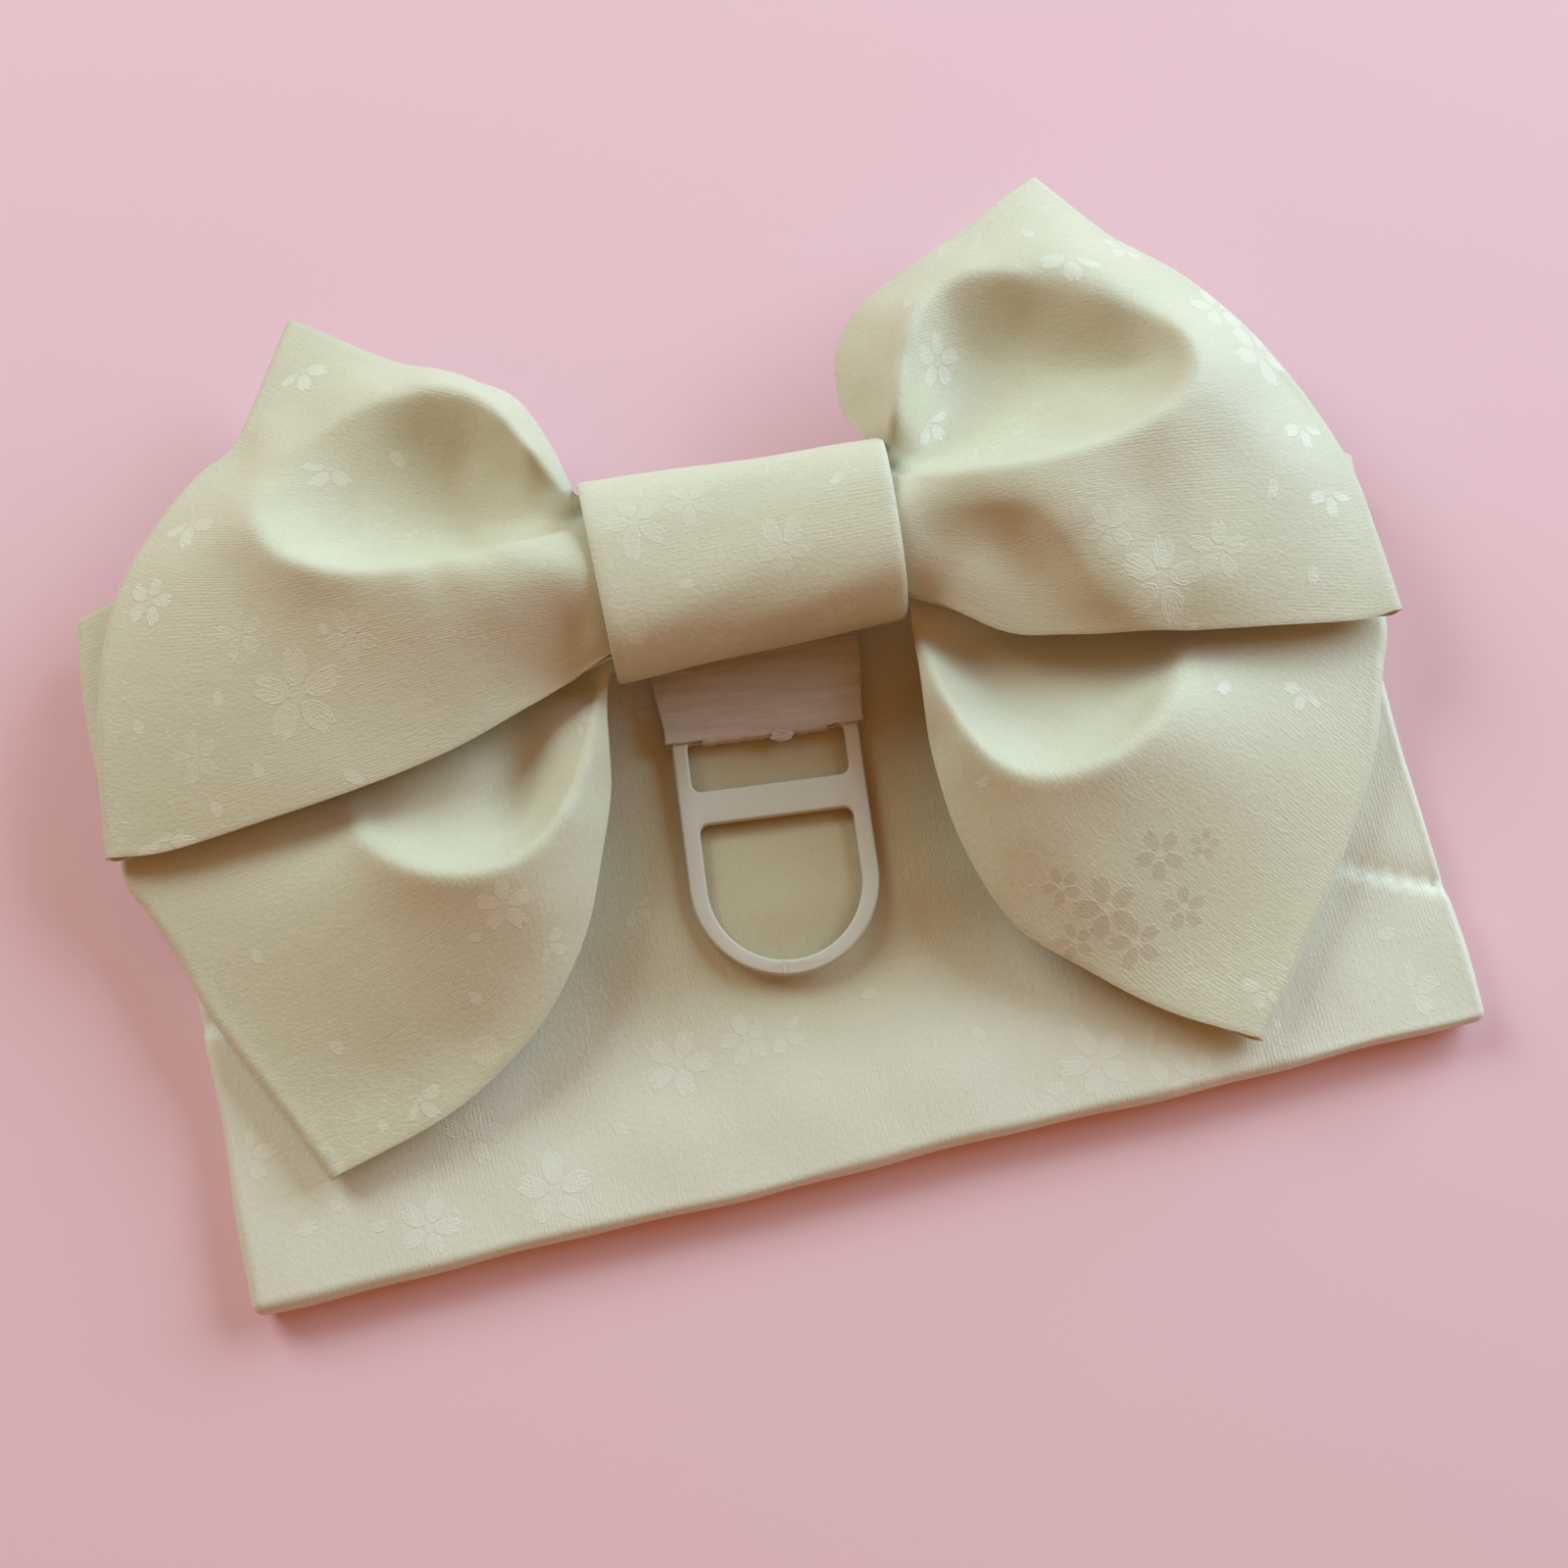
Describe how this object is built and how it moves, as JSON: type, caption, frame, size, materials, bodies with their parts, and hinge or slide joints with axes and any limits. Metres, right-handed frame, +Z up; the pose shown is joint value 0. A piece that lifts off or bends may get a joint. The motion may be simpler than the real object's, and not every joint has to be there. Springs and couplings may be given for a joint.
{
  "type": "ready-tied obi sash set",
  "caption": "Ready-tied obi set laid flat: folded waist band, large stiff bow gathered by a knot band, and a white D-shaped insertion hook on a webbing tape.",
  "frame": {"origin": "middle of the footprint, on the surface that the folded band lies on", "axes": "+X along the folded band, towards the right of the bow; +Y from the band towards the top of the bow; +Z up, out of the surface"},
  "size_m": [0.3746, 0.2728, 0.0611],
  "materials": {
    "brocade": "satin tone-on-tone jacquard",
    "plastic": "smooth moulded, slightly glossy",
    "webbing": "matt plain weave"
  },
  "bodies": {
    "root": {"belt": "brocade", "lower_left_wing": "brocade", "lower_right_wing": "brocade", "upper_left_wing": "brocade", "upper_right_wing": "brocade", "knot_band": "brocade", "hook": "plastic", "hook_tape": "webbing"}
  },
  "joints": []
}
